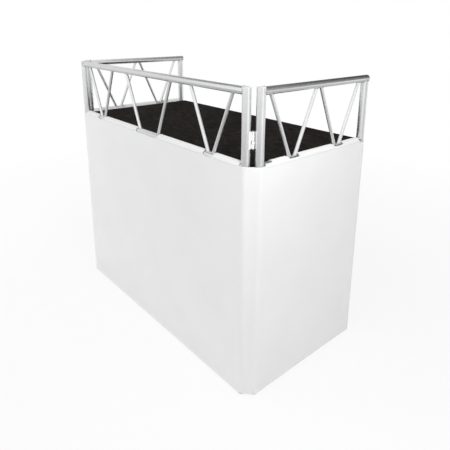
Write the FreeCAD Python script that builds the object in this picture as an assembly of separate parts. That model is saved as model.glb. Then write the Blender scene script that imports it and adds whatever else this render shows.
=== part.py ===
# Folding truss booth for a disc jockey: a front frame and two hinged wings of aluminium tube,
# a carpeted table that lies between their rails, and a stretch scrim round the outside.
import FreeCAD
import Part
import math
import os
from FreeCAD import Vector

# Tubes, rods and plugs of the frames
TUBE_OD = 30.0  # posts, mid rails and bottom rails
TOP_RAIL_OD = 27.0
TUBE_WALL = 2.0
ROD_D = 12.7
WELD_GAP = 0.05  # room between faces that are welded or glued
CAP_T = 2.5
FOOT_T = 8.0
PLUG_LENGTH = 15.0  # stem of a cap or foot inside its tube
PLUG_CLEARANCE = 0.1
PLUG_ROUND = 1.0
REAR_POST_SADDLE = 6.0  # how far the end of a rear post rises round the top rail

# Frames: spans run between post centres, heights up to rail centres
FRONT_SPAN = 1180.0
WING_SPAN = 570.0
BOTTOM_RAIL_Z = 60.0
MID_RAIL_Z = 885.0
TRUSS_DEPTH = 251.0  # mid rail up to top rail

# Lattice: each vee is two rods, close at the mid rail and wide at the top rail
VEE_FOOT = 31.0
FRONT_VEE_TOP = 226.0
MIDDLE_VEE_FOOT = 142.0
MIDDLE_VEE_TOP = 333.0
FRONT_VEE_INSET = 66.0  # front post to the top of the first rod
WING_VEE_INSET = 45.0  # wing post to the top of the rod beside it
WING_VEE_GAP = 28.0  # between the tops of neighbouring vees
WING_VEES = ("front", "rear")

# Hinges between a front post and the wing post beside it
HINGE_HEIGHT = 57.0
WING_KNUCKLE_RISE = 16.0  # above the foot of a hinge
WING_KNUCKLE_HEIGHT = 9.0
UPPER_HINGE_RISE = 65.0  # above the mid rail
LOWER_HINGE_RISE = 80.0  # above the bottom rail
PIN_D = 5.0
PIN_CLEARANCE = 0.05
PIN_HEAD_D = 8.0
PIN_HEAD_T = 2.0
KNUCKLE_WALL = 2.5
LEAF_T = 1.5
LEAF_GAP = 1.15  # between a knuckle and the leaf opposite
FRONT_LEAF_WRAP = 60.0  # degrees round the front post, each way
WING_LEAF_WRAP = 20.0  # degrees round the wing post, each way
WEB_T = 4.0
WASHER_T = 0.8
RUN_GAP = 0.1

# Scrim and the hook strips that hold it
SCRIM_T = 1.0
HEM_Z = 6.0
CORNER_RISE = 8.0  # top of the scrim at a front corner, above the mid rail's centre
STRIP_T = 1.2
STRIP_CLEARANCE = 0.3
FLAP_WRAP = 215.0  # degrees, from the outer side over the rail
REAR_WRAP = 190.0  # degrees, from the outer side round the rear post
STRIP_HALF_WRAP = 25.0
STRIP_MARGIN = 8.0  # from the end of a strip to the end of its flap
FLAP_ROD_GAP = 12.0  # from a rod's foot to the flap beside it
FRONT_FLAP_INSET = 17.0  # from a front post to the first flap
WING_FLAP_FRONT = 52.0
WING_FLAP_REAR = 26.0

# Table and the ledges that carry it
BOARD_T = 18.0
CARPET_T = 4.0
CARPET_LIP = 45.0  # carpet turned under the board
TABLE_RISE = 6.0  # carpet surface above the mid rail's centre
TABLE_GAP = 3.0  # between the table's edge and the scrim on the rails
TABLE_CORNER_CUT = 18.0
SEAT_GAP = 0.3
LEDGE_T = 3.0
LEDGE_OFFSET = 6.0  # upright leg, inwards of the rail's centre
LEDGE_REACH = 32.0  # under the table
LEDGE_LENGTH = 60.0
FRONT_LEDGE_INSET = 200.0
WING_LEDGE_INSET = 150.0

# Sizes that follow
TUBE_R = TUBE_OD / 2
TOP_RAIL_R = TOP_RAIL_OD / 2
PIN_R = PIN_D / 2
KNUCKLE_R = PIN_R + KNUCKLE_WALL
PIN_OFFSET = TUBE_R + LEAF_T + LEAF_GAP + KNUCKLE_R  # from a post's centre to the pin
FOLD_PITCH = PIN_OFFSET * math.sqrt(2)  # from a front post to its wing post, sideways and back
FRONT_X = FRONT_SPAN / 2
WING_X = FRONT_X + FOLD_PITCH
FRONT_Y = -(FOLD_PITCH + WING_SPAN) / 2
WING_FRONT_Y = FRONT_Y + FOLD_PITCH
REAR_Y = WING_FRONT_Y + WING_SPAN
TOP_RAIL_Z = MID_RAIL_Z + TRUSS_DEPTH
FRAME_TOP = TOP_RAIL_Z + TOP_RAIL_R
SCRIM_IN = TUBE_R + STRIP_T + STRIP_CLEARANCE
SCRIM_OUT = SCRIM_IN + SCRIM_T
TABLE_Z = MID_RAIL_Z + TABLE_RISE
TABLE_UNDERSIDE = TABLE_Z - 2 * CARPET_T - BOARD_T
UP = Vector(0, 0, 1)
SIDES = (("left", -1), ("right", 1))


def bar(start, end, radius):
    """Solid round bar between two points."""
    axis = end - start
    return Part.makeCylinder(radius, axis.Length, start, axis)


def tube(start, end, radius=TUBE_R):
    """Frame tube between two points."""
    return bar(start, end, radius).cut(bar(start, end, radius - TUBE_WALL))


def coped(shape, *axes, radius=TUBE_R):
    """Shape with its ends cut to sit against the tubes on the given axes."""
    for start, end in axes:
        shape = shape.cut(bar(start, end, radius + WELD_GAP))
    return shape


def prism(points, run):
    """Flat outline pushed along run."""
    return Part.Face(Part.makePolygon(points + points[:1])).extrude(run)


def ring_sector(centre, across, along, r_in, r_out, start, end, run):
    """Part of a ring between two angles in the plane of across and along, pushed along run."""
    def at(radius, degrees):
        turn = math.radians(degrees)
        return centre + across * (radius * math.cos(turn)) + along * (radius * math.sin(turn))

    middle = (start + end) / 2
    edges = [
        Part.Arc(at(r_out, start), at(r_out, middle), at(r_out, end)).toShape(),
        Part.makeLine(at(r_out, end), at(r_in, end)),
        Part.Arc(at(r_in, end), at(r_in, middle), at(r_in, start)).toShape(),
        Part.makeLine(at(r_in, start), at(r_out, start)),
    ]
    return Part.Face(Part.Wire(edges)).extrude(run)


def plug(seat, outward, flange_t, radius=TUBE_R):
    """Push-in plug: a rounded flange outside a tube's end and a stem inside it."""
    flange = Part.makeCylinder(radius, flange_t, seat, outward)
    rim = [e for e in flange.Edges if (e.CenterOfMass - seat).dot(outward) > flange_t * 0.9]
    flange = flange.makeFillet(min(PLUG_ROUND, flange_t / 2), rim)
    return flange.fuse(bar(seat, seat - outward * PLUG_LENGTH, radius - TUBE_WALL - PLUG_CLEARANCE))


class Panel:
    """One flat frame: it turns a distance along the panel and a height into a point."""

    def __init__(self, along, origin, outward, start, end):
        self.along = along
        self.origin = origin
        self.outward = outward
        self.start = start
        self.end = end

    def at(self, distance, height):
        return self.origin + self.along * distance + UP * height

    def axis(self, height, start=None, end=None):
        first = self.start if start is None else start
        last = self.end if end is None else end
        return self.at(first, height), self.at(last, height)

    def post_axis(self, distance):
        return self.at(distance, FOOT_T), self.at(distance, FRAME_TOP - CAP_T)

    def post_line(self, distance):
        return self.at(distance, 0), self.at(distance, FRAME_TOP)


FRONT = Panel(Vector(1, 0, 0), Vector(0, FRONT_Y, 0), Vector(0, -1, 0), -FRONT_X, FRONT_X)
WINGS = {
    name: Panel(Vector(0, 1, 0), Vector(side * WING_X, 0, 0), Vector(side, 0, 0), WING_FRONT_Y, REAR_Y)
    for name, side in SIDES
}


def front_vees():
    """Centre, foot spacing and top spacing of each vee of the front frame."""
    outer = FRONT_X - FRONT_VEE_INSET - FRONT_VEE_TOP / 2
    return {
        "left": (-outer, VEE_FOOT, FRONT_VEE_TOP),
        "middle": (0.0, MIDDLE_VEE_FOOT, MIDDLE_VEE_TOP),
        "right": (outer, VEE_FOOT, FRONT_VEE_TOP),
    }


def wing_vees():
    """The vees of a wing, side by side between its posts."""
    pitch = (WING_SPAN - 2 * WING_VEE_INSET + WING_VEE_GAP) / len(WING_VEES)
    top = pitch - WING_VEE_GAP
    first = WING_FRONT_Y + WING_VEE_INSET + top / 2
    return {place: (first + i * pitch, VEE_FOOT, top) for i, place in enumerate(WING_VEES)}


def vee_rods(panel, centre, foot, top):
    """The two rods of one vee, cut to sit on the mid rail and under the top rail."""
    slope = (top - foot) / 2 / (TRUSS_DEPTH - TUBE_R - TOP_RAIL_R)
    rods = []
    for sign in (-1, 1):
        low = panel.at(centre + sign * (foot / 2 - slope * TUBE_R), MID_RAIL_Z)
        high = panel.at(centre + sign * (top / 2 + slope * TOP_RAIL_R), TOP_RAIL_Z)
        rod = coped(bar(low, high, ROD_D / 2), panel.axis(MID_RAIL_Z))
        rods.append(coped(rod, panel.axis(TOP_RAIL_Z), radius=TOP_RAIL_R))
    return Part.makeCompound(rods)


def flap_spans(start, end, vees):
    """Stretches of the mid rail between the rods' feet, where the scrim folds over it."""
    spans = []
    for centre, foot, top in vees.values():
        reach = foot / 2 + FLAP_ROD_GAP
        spans.append((start, centre - reach))
        start = centre + reach
    return spans + [(start, end)]


def flaps(panel, spans):
    """Scrim flaps over the mid rail, from its outer side round to its inner side."""
    return [
        ring_sector(panel.at(low, MID_RAIL_Z), panel.outward, UP, SCRIM_IN, SCRIM_OUT,
                    0, FLAP_WRAP, panel.along * (high - low))
        for low, high in spans
    ]


def hook_strip(centre, across, along, middle, run):
    """Hook strip glued round part of a tube."""
    return ring_sector(centre, across, along, TUBE_R + WELD_GAP, TUBE_R + STRIP_T,
                       middle - STRIP_HALF_WRAP, middle + STRIP_HALF_WRAP, run)


def rail_strips(panel, spans, bottom):
    """Hook strips inside each flap and one along the outer side of the bottom rail."""
    strips = []
    for low, high in spans:
        run = panel.along * (high - low - 2 * STRIP_MARGIN)
        seat = panel.at(low + STRIP_MARGIN, MID_RAIL_Z)
        strips.append(hook_strip(seat, panel.outward, UP, FLAP_WRAP - STRIP_HALF_WRAP, run))
    low, high = bottom
    seat = panel.at(low, BOTTOM_RAIL_Z)
    strips.append(hook_strip(seat, panel.outward, UP, 0, panel.along * (high - low)))
    return strips


def ledge(panel, distance):
    """Angle bracket welded under the mid rail, whose shelf reaches under the table."""
    seat = TABLE_UNDERSIDE - SEAT_GAP
    tip = SCRIM_OUT + TABLE_GAP + LEDGE_REACH
    leg = LEDGE_OFFSET + LEDGE_T
    section = [
        (LEDGE_OFFSET, seat - LEDGE_T), (tip, seat - LEDGE_T), (tip, seat),
        (leg, seat), (leg, MID_RAIL_Z), (LEDGE_OFFSET, MID_RAIL_Z),
    ]
    start = distance - LEDGE_LENGTH / 2
    points = [panel.at(start, height) - panel.outward * inward for inward, height in section]
    return coped(prism(points, panel.along * LEDGE_LENGTH), panel.axis(MID_RAIL_Z))


def ledges(panel, inset):
    """A ledge near each post of a panel."""
    return [ledge(panel, panel.start + inset), ledge(panel, panel.end - inset)]


def front_frame():
    """Posts, rails, lattice, plugs and ledges of the front frame."""
    posts = FRONT.post_axis(-FRONT_X), FRONT.post_axis(FRONT_X)
    pieces = {
        "front_left_post": tube(*posts[0]),
        "front_right_post": tube(*posts[1]),
        "front_post_caps": Part.makeCompound([plug(top, UP, CAP_T) for foot, top in posts]),
        "front_feet": Part.makeCompound([plug(foot, -UP, FOOT_T) for foot, top in posts]),
        "front_table_ledges": Part.makeCompound(ledges(FRONT, FRONT_LEDGE_INSET) + [ledge(FRONT, 0)]),
    }
    rails = ("top", TOP_RAIL_Z, TOP_RAIL_R), ("mid", MID_RAIL_Z, TUBE_R), ("bottom", BOTTOM_RAIL_Z, TUBE_R)
    for rail, height, radius in rails:
        ends = FRONT.post_line(-FRONT_X), FRONT.post_line(FRONT_X)
        pieces[f"front_{rail}_rail"] = coped(tube(*FRONT.axis(height), radius), *ends)
    for place, sizes in front_vees().items():
        pieces[f"front_lattice_{place}"] = vee_rods(FRONT, *sizes)
    return pieces


def wing_frame(name):
    """Posts, rails, lattice, plugs and ledges of one wing. Its top rail runs over its rear post."""
    wing = WINGS[name]
    front_post = wing.post_axis(WING_FRONT_Y)
    rear_post = wing.at(REAR_Y, FOOT_T), wing.at(REAR_Y, TOP_RAIL_Z - TOP_RAIL_R + REAR_POST_SADDLE)
    capped_rail = wing.axis(TOP_RAIL_Z, end=REAR_Y + TUBE_R)
    top_rail = wing.axis(TOP_RAIL_Z, end=REAR_Y + TUBE_R - CAP_T)
    caps = [plug(front_post[1], UP, CAP_T), plug(top_rail[1], wing.along, CAP_T, TOP_RAIL_R)]
    pieces = {
        f"{name}_wing_front_post": tube(*front_post),
        f"{name}_wing_rear_post": coped(tube(*rear_post), capped_rail, radius=TOP_RAIL_R),
        f"{name}_wing_top_rail": coped(tube(*top_rail, TOP_RAIL_R), wing.post_line(WING_FRONT_Y)),
        f"{name}_wing_caps": Part.makeCompound(caps),
        f"{name}_wing_feet": Part.makeCompound([plug(p[0], -UP, FOOT_T) for p in (front_post, rear_post)]),
        f"{name}_wing_table_ledges": Part.makeCompound(ledges(wing, WING_LEDGE_INSET)),
    }
    for rail, height in (("mid", MID_RAIL_Z), ("bottom", BOTTOM_RAIL_Z)):
        pieces[f"{name}_wing_{rail}_rail"] = coped(tube(*wing.axis(height)), front_post, rear_post)
    for place, sizes in wing_vees().items():
        pieces[f"{name}_wing_lattice_{place}"] = vee_rods(wing, *sizes)
    return pieces


def knuckle_spans():
    """Heights of the three knuckles and the two washers between them, from the foot of a hinge."""
    step = WASHER_T + 2 * RUN_GAP
    wing_top = WING_KNUCKLE_RISE + WING_KNUCKLE_HEIGHT
    knuckles = [(0, WING_KNUCKLE_RISE - step), (WING_KNUCKLE_RISE, wing_top), (wing_top + step, HINGE_HEIGHT)]
    washers = [(high + RUN_GAP, high + RUN_GAP + WASHER_T) for low, high in knuckles[:2]]
    return knuckles, washers


def hinge_leaf(post, pin, wrap, spans):
    """A leaf wrapped round its post, with a web and a knuckle at each of the given heights."""
    toward = (pin - post).normalize()
    aside = UP.cross(toward)
    leaf = ring_sector(post, toward, aside, TUBE_R + WELD_GAP, TUBE_R + LEAF_T,
                       -wrap, wrap, UP * HINGE_HEIGHT)
    root = post + toward * (TUBE_R + LEAF_T / 2)
    half = aside * (WEB_T / 2)
    for low, high in spans:
        lift = UP * low
        rise = UP * (high - low)
        web = prism([root - half + lift, pin - half + lift, pin + half + lift, root + half + lift], rise)
        leaf = leaf.fuse(web).fuse(bar(pin + lift, pin + lift + rise, KNUCKLE_R))
    bore = bar(pin, pin + UP * HINGE_HEIGHT, PIN_R + PIN_CLEARANCE)
    return leaf.cut(bore).removeSplitter()


def hinge_pin(pin):
    """Pin with a head at each end."""
    low = pin - UP * RUN_GAP
    high = pin + UP * (HINGE_HEIGHT + RUN_GAP)
    shank = bar(low, high, PIN_R)
    lower = bar(low, low - UP * PIN_HEAD_T, PIN_HEAD_D / 2)
    upper = bar(high, high + UP * PIN_HEAD_T, PIN_HEAD_D / 2)
    return shank.fuse(lower).fuse(upper).removeSplitter()


def hinge_washer(pin, low, high):
    """Thin ring between two knuckles."""
    start, end = pin + UP * low, pin + UP * high
    return bar(start, end, KNUCKLE_R).cut(bar(start, end, PIN_R + PIN_CLEARANCE))


def hinges(name, side):
    """The upper and the lower hinge of one wing."""
    knuckles, washers = knuckle_spans()
    leaves, wing_leaves, pins, rings = [], [], [], []
    for foot in (BOTTOM_RAIL_Z + LOWER_HINGE_RISE, MID_RAIL_Z + UPPER_HINGE_RISE):
        post = Vector(side * FRONT_X, FRONT_Y, foot)
        wing_post = Vector(side * WING_X, WING_FRONT_Y, foot)
        pin = (post + wing_post) * 0.5
        leaves.append(hinge_leaf(post, pin, FRONT_LEAF_WRAP, knuckles[::2]))
        wing_leaves.append(hinge_leaf(wing_post, pin, WING_LEAF_WRAP, knuckles[1:2]))
        pins.append(hinge_pin(pin))
        rings += [hinge_washer(pin, low, high) for low, high in washers]
    return {
        f"{name}_hinge_front_leaves": Part.makeCompound(leaves),
        f"{name}_hinge_wing_leaves": Part.makeCompound(wing_leaves),
        f"{name}_hinge_pins": Part.makeCompound(pins),
        f"{name}_hinge_washers": Part.makeCompound(rings),
    }


def sheet(panel, start, end):
    """Flat stretch of scrim from the hem up to the mid rail's centre."""
    low, high = panel.outward * SCRIM_IN, panel.outward * SCRIM_OUT
    first, last = panel.axis(HEM_Z, start, end)
    return prism([first + low, last + low, last + high, first + high], UP * (MID_RAIL_Z - HEM_Z))


def scrim_corner(side):
    """Scrim round a front corner: an arc on each post and a flat stretch across the hinge."""
    def at(x, y, radius, degrees):
        turn = math.radians(degrees)
        return Vector(side * (x + radius * math.cos(turn)), y + radius * math.sin(turn), HEM_Z)

    def path(radius):
        front = [at(FRONT_X, FRONT_Y, radius, turn) for turn in (-90, -67.5, -45)]
        back = [at(WING_X, WING_FRONT_Y, radius, turn) for turn in (-45, -22.5, 0)]
        edges = [Part.Arc(*front).toShape(), Part.makeLine(front[2], back[0]), Part.Arc(*back).toShape()]
        return edges, front[0], back[2]

    outer, outer_start, outer_end = path(SCRIM_OUT)
    inner, inner_start, inner_end = path(SCRIM_IN)
    closing = [Part.makeLine(outer_end, inner_end), Part.makeLine(inner_start, outer_start)]
    wire = Part.Wire(outer + closing[:1] + inner[::-1] + closing[1:])
    return Part.Face(wire).extrude(UP * (MID_RAIL_Z + CORNER_RISE - HEM_Z))


def front_scrim():
    """Front stretch of the scrim, its flaps, and the strips that hold them."""
    edge = FRONT_X - FRONT_FLAP_INSET
    spans = flap_spans(-edge, edge, front_vees())
    return {
        "front_scrim": sheet(FRONT, -FRONT_X, FRONT_X),
        "front_scrim_flaps": Part.makeCompound(flaps(FRONT, spans)),
        "front_hook_strips": Part.makeCompound(rail_strips(FRONT, spans, (-edge, edge))),
    }


def wing_scrim(name, side):
    """Side stretch of the scrim, its flaps, its turn round the rear post, and its hook strips."""
    wing = WINGS[name]
    spans = flap_spans(WING_FRONT_Y + WING_FLAP_FRONT, REAR_Y - WING_FLAP_REAR, wing_vees())
    strips = rail_strips(wing, spans, (WING_FRONT_Y + WING_FLAP_FRONT, REAR_Y - WING_FLAP_REAR))
    low = BOTTOM_RAIL_Z + TUBE_OD
    high = MID_RAIL_Z - TUBE_OD
    strips.append(hook_strip(wing.at(REAR_Y, low), wing.outward, wing.along,
                             REAR_WRAP - STRIP_HALF_WRAP, UP * (high - low)))
    turn = ring_sector(wing.at(REAR_Y, HEM_Z), wing.outward, wing.along, SCRIM_IN, SCRIM_OUT,
                       0, REAR_WRAP, UP * (MID_RAIL_Z - HEM_Z))
    return {
        f"{name}_scrim": sheet(wing, WING_FRONT_Y, REAR_Y),
        f"{name}_scrim_rear_turn": turn,
        f"{name}_scrim_flaps": Part.makeCompound(flaps(wing, spans)),
        f"{name}_scrim_corner": scrim_corner(side),
        f"{name}_hook_strips": Part.makeCompound(strips),
    }


def table_slab(inset, low, high):
    """Slab of the table's outline, drawn in by inset. Its front corners are cut to clear the hinges."""
    x = WING_X - SCRIM_OUT - TABLE_GAP - inset
    front = FRONT_Y + SCRIM_OUT + TABLE_GAP + inset
    rear = REAR_Y + TUBE_R - inset
    cut = max(TABLE_CORNER_CUT - inset * (2 - math.sqrt(2)), WELD_GAP)
    outline = [(-x, rear), (-x, front + cut), (cut - x, front), (x - cut, front), (x, front + cut), (x, rear)]
    return prism([Vector(px, py, low) for px, py in outline], UP * (high - low))


def table():
    """Board, and carpet over its top and edges, turned under all round."""
    board_low = TABLE_UNDERSIDE + CARPET_T
    board = table_slab(CARPET_T, board_low, TABLE_Z - CARPET_T)
    carpet = table_slab(0, TABLE_UNDERSIDE, TABLE_Z).cut(board)
    return {
        "table_board": board,
        "table_carpet": carpet.cut(table_slab(CARPET_LIP, TABLE_UNDERSIDE, board_low)),
    }


def main():
    """Build every piece and write it to its own file."""
    pieces = {**front_frame(), **front_scrim(), **table()}
    for name, side in SIDES:
        pieces.update(wing_frame(name))
        pieces.update(hinges(name, side))
        pieces.update(wing_scrim(name, side))
    os.makedirs("parts", exist_ok=True)
    for node, shape in pieces.items():
        shape.exportStep(f"parts/{node}.step")
        print(node, len(shape.Solids), round(shape.Volume / 1000, 2), shape.isValid())


main()
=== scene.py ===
"""Looks of a folding disc jockey booth: tube frames with a truss lattice, a stretch scrim round
the outside and a carpeted table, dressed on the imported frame."""

import logging
import math
from collections.abc import Iterable, Sequence
from dataclasses import dataclass, field
from enum import Enum
from fnmatch import fnmatch

import bpy
import numpy as np
from mathutils import Matrix, Vector


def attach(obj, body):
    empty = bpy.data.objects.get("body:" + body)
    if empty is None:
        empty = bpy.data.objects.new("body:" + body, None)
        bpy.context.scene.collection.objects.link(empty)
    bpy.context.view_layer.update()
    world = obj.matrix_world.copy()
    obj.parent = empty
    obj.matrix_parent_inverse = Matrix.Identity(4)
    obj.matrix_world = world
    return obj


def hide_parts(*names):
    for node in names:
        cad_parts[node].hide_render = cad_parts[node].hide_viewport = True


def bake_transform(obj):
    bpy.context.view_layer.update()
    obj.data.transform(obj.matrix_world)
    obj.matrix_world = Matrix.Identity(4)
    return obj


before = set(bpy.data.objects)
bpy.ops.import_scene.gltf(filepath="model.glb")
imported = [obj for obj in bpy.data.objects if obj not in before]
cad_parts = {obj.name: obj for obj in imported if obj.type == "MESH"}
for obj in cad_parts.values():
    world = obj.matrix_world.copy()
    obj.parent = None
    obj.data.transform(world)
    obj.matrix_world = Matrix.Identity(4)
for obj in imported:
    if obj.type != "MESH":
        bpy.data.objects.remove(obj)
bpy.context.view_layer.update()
LOG = logging.getLogger("booth")
UP = Vector((0, 0, 1))

Array = np.ndarray
Node = bpy.types.Node
Pair = tuple[float, float]
Piece = bpy.types.Object
Socket = bpy.types.NodeSocket
Sockets = dict[str, Socket]
Tree = bpy.types.NodeTree
Triple = tuple[float, float, float]
Limits = tuple[Pair, Pair]


class Side(Enum):
    """The two wings, by the sign of their side."""

    LEFT = -1
    RIGHT = 1

    @property
    def word(self) -> str:
        """The side as it stands in node names."""
        return self.name.lower()

    @property
    def wing(self) -> str:
        """The body that this side's wing moves with."""
        return f"{self.word}_wing"


class Run(Enum):
    """The way that a bar lies, which its drawn grain follows."""

    ACROSS = (1, 0, 0)
    DEEP = (0, 1, 0)
    UPRIGHT = (0, 0, 1)
    SLANTED = (0, 0, 0)


@dataclass(frozen=True)
class BoothSizes:
    """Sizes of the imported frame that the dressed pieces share, in metres."""

    tube_r: float = 0.015
    top_r: float = 0.0135
    rod_r: float = 0.00635
    front_x: float = 0.590
    wing_x: float = 0.622032
    front_y: float = -0.301016
    wing_front_y: float = -0.268984
    rear_y: float = 0.301016
    bottom_z: float = 0.060
    mid_z: float = 0.885
    top_z: float = 1.136
    hem_z: float = 0.006
    scrim_r: float = 0.017
    scrim_t: float = 0.001
    corner_rise: float = 0.008

    @property
    def drop(self) -> float:
        """Height of the scrim from its hem to the mid rail's centre."""
        return self.mid_z - self.hem_z


BOOTH = BoothSizes()


def ramp(value: Array, low: float, high: float) -> Array:
    """Smooth step from 0 at low to 1 at high, read at each value."""
    share = np.clip((value - low) / (high - low), 0.0, 1.0)
    return share * share * (3 - 2 * share)


def band(value: Array, rise: Pair, fall: Pair) -> Array:
    """Smooth band that goes up over one pair of limits and down over the other."""
    return ramp(value, *rise) * (1 - ramp(value, *fall))


def bell(value: Array, width: float) -> Array:
    """Bell curve of the given width, 1 at 0."""
    return np.exp(-((value / width) ** 2))


class Bench:
    """Blender's modelling operators, used on one piece at a time."""

    @staticmethod
    def clear() -> None:
        """Leave object mode ready with nothing selected."""
        if bpy.context.object and bpy.context.object.mode != "OBJECT":
            bpy.ops.object.mode_set(mode="OBJECT")
        bpy.ops.object.select_all(action="DESELECT")

    @staticmethod
    def pick(piece: Piece) -> None:
        """Select one piece alone and make it active.

        Args:
            piece: The piece.
        """
        Bench.clear()
        piece.select_set(True)
        bpy.context.view_layer.objects.active = piece

    @staticmethod
    def started(name: str) -> Piece:
        """Name the primitive that was just added.

        Args:
            name: The new name.

        Returns:
            The piece.
        """
        piece = bpy.context.object
        piece.name = name
        piece.data.name = name
        return piece

    @staticmethod
    def settle(piece: Piece) -> None:
        """Put a piece's place, turn and scale into its mesh."""
        Bench.pick(piece)
        bpy.ops.object.transform_apply(location=True, rotation=True, scale=True)

    @staticmethod
    def edit(piece: Piece, faces: Array | None = None) -> None:
        """Open a piece in edit mode, with some faces selected.

        Args:
            piece: The piece.
            faces: Mask of the faces, or None for all.
        """
        Bench.pick(piece)
        mesh = piece.data
        mesh.vertices.foreach_set("select", np.zeros(len(mesh.vertices), bool))
        mesh.edges.foreach_set("select", np.zeros(len(mesh.edges), bool))
        chosen = np.ones(len(mesh.polygons), bool) if faces is None else faces
        mesh.polygons.foreach_set("select", chosen)
        bpy.context.tool_settings.mesh_select_mode = (False, False, True)
        bpy.ops.object.mode_set(mode="EDIT")

    @staticmethod
    def choose_edges() -> None:
        """Select by edges from here on."""
        bpy.context.tool_settings.mesh_select_mode = (False, True, False)

    @staticmethod
    def close() -> None:
        """Go back to object mode."""
        bpy.ops.object.mode_set(mode="OBJECT")

    @staticmethod
    def tidy(piece: Piece, distance: float = 1e-5) -> None:
        """Merge doubles and turn the faces outwards.

        Args:
            piece: The piece.
            distance: How close doubles lie.
        """
        Bench.edit(piece)
        bpy.ops.mesh.remove_doubles(threshold=distance)
        bpy.ops.mesh.select_all(action="SELECT")
        bpy.ops.mesh.normals_make_consistent(inside=False)
        Bench.close()

    @staticmethod
    def modify(piece: Piece, kind: str, **settings: object) -> None:
        """Add a modifier, set its values, and apply it.

        Args:
            piece: The piece.
            kind: The modifier's type.
            **settings: Values set on the modifier.
        """
        Bench.pick(piece)
        modifier = piece.modifiers.new(kind.title(), kind)
        for key, value in settings.items():
            setattr(modifier, key, value)
        bpy.ops.object.modifier_apply(modifier=modifier.name)

    @staticmethod
    def smooth(piece: Piece, degrees: float) -> None:
        """Shade smooth, with edges above the given angle kept sharp."""
        Bench.pick(piece)
        bpy.ops.object.shade_smooth_by_angle(angle=math.radians(degrees))

    @staticmethod
    def join(name: str, pieces: Sequence[Piece]) -> Piece:
        """Join pieces into the first of them, under a new name.

        Args:
            name: The new name.
            pieces: The pieces, the first of which takes the others in.

        Returns:
            The joined piece.
        """
        Bench.clear()
        for piece in pieces:
            piece.select_set(True)
        bpy.context.view_layer.objects.active = pieces[0]
        if len(pieces) > 1:
            bpy.ops.object.join()
        return Bench.started(name)

    @staticmethod
    def points(piece: Piece) -> Array:
        """A mesh's vertices as an array of points.

        Args:
            piece: The piece.

        Returns:
            The points.
        """
        flat = np.zeros(len(piece.data.vertices) * 3)
        piece.data.vertices.foreach_get("co", flat)
        return flat.reshape(-1, 3)

    @staticmethod
    def move(piece: Piece, points: Array) -> None:
        """Move a mesh's vertices to the given points."""
        piece.data.vertices.foreach_set("co", np.ascontiguousarray(points).ravel())
        piece.data.update()


class Wiring:
    """Adds and joins shader nodes in one node tree."""

    def __init__(self, tree: Tree) -> None:
        """Work on the given tree."""
        self.tree = tree

    @classmethod
    def material(cls, name: str) -> tuple[bpy.types.Material, "Wiring"]:
        """A new material, and the wiring of its tree.

        Args:
            name: The material's name.

        Returns:
            The material and its wiring.
        """
        made = bpy.data.materials.new(name)
        made.use_nodes = True
        return made, cls(made.node_tree)

    def add(self, kind: str, inputs: dict | None = None, **settings: object) -> Node:
        """Add a node.

        Args:
            kind: The node's type, without the ShaderNode in front.
            inputs: Sockets by name or number, with the values or sockets that feed them.
            **settings: Values set on the node itself.

        Returns:
            The node.
        """
        node = self.tree.nodes.new(f"ShaderNode{kind}")
        for key, value in settings.items():
            setattr(node, key, value)
        for key, value in (inputs or {}).items():
            if isinstance(value, Socket):
                self.tree.links.new(value, node.inputs[key])
            else:
                node.inputs[key].default_value = value
        return node

    def surface(self, shader: Node) -> None:
        """Make a shader the material's surface."""
        self.tree.links.new(shader.outputs[0], self.tree.nodes["Material Output"].inputs["Surface"])

    def place(self) -> Socket:
        """Where a point lies on its piece."""
        return self.add("TexCoord").outputs["Object"]

    def stretched(self, place: Socket, scale: Sequence[float]) -> Socket:
        """A place scaled along each axis."""
        return self.add("Mapping", {"Vector": place, "Scale": scale}).outputs[0]

    def noise(self, place: Socket, scale: object, detail: float, **more: float) -> Socket:
        """Noise of a scale and a detail."""
        inputs = {"Vector": place, "Scale": scale, "Detail": detail, **more}
        return self.add("TexNoise", inputs).outputs["Fac"]

    def math(self, operation: str, first: object, second: object = 0.0) -> Socket:
        """The result of a Math node on one or two values or sockets."""
        return self.add("Math", {0: first, 1: second}, operation=operation).outputs[0]

    def mingle(self, first: Socket, share: float, second: Socket) -> Socket:
        """A share of one value and the rest of another."""
        return self.math("ADD", self.math("MULTIPLY", first, share), self.math("MULTIPLY", second, 1 - share))

    def span(self, value: Socket, low: float, high: float, start: float = 0.0, end: float = 1.0) -> Socket:
        """A value that runs from low to high while the given one runs from start to end."""
        inputs = {"Value": value, "From Min": start, "From Max": end, "To Min": low, "To Max": high}
        return self.add("MapRange", inputs).outputs[0]

    def shade(self, factor: Socket, first: Triple, second: Triple) -> Socket:
        """A colour between two others.

        Args:
            factor: Share of the second colour.
            first: The first colour.
            second: The second colour.

        Returns:
            The colour's socket.
        """
        node = self.add("Mix", {"Factor": factor}, data_type="RGBA")
        colours = [socket for socket in node.inputs if socket.type == "RGBA"]
        for socket, colour in zip(colours, (first, second)):
            socket.default_value = (*colour, 1)
        return next(socket for socket in node.outputs if socket.type == "RGBA")


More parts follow.
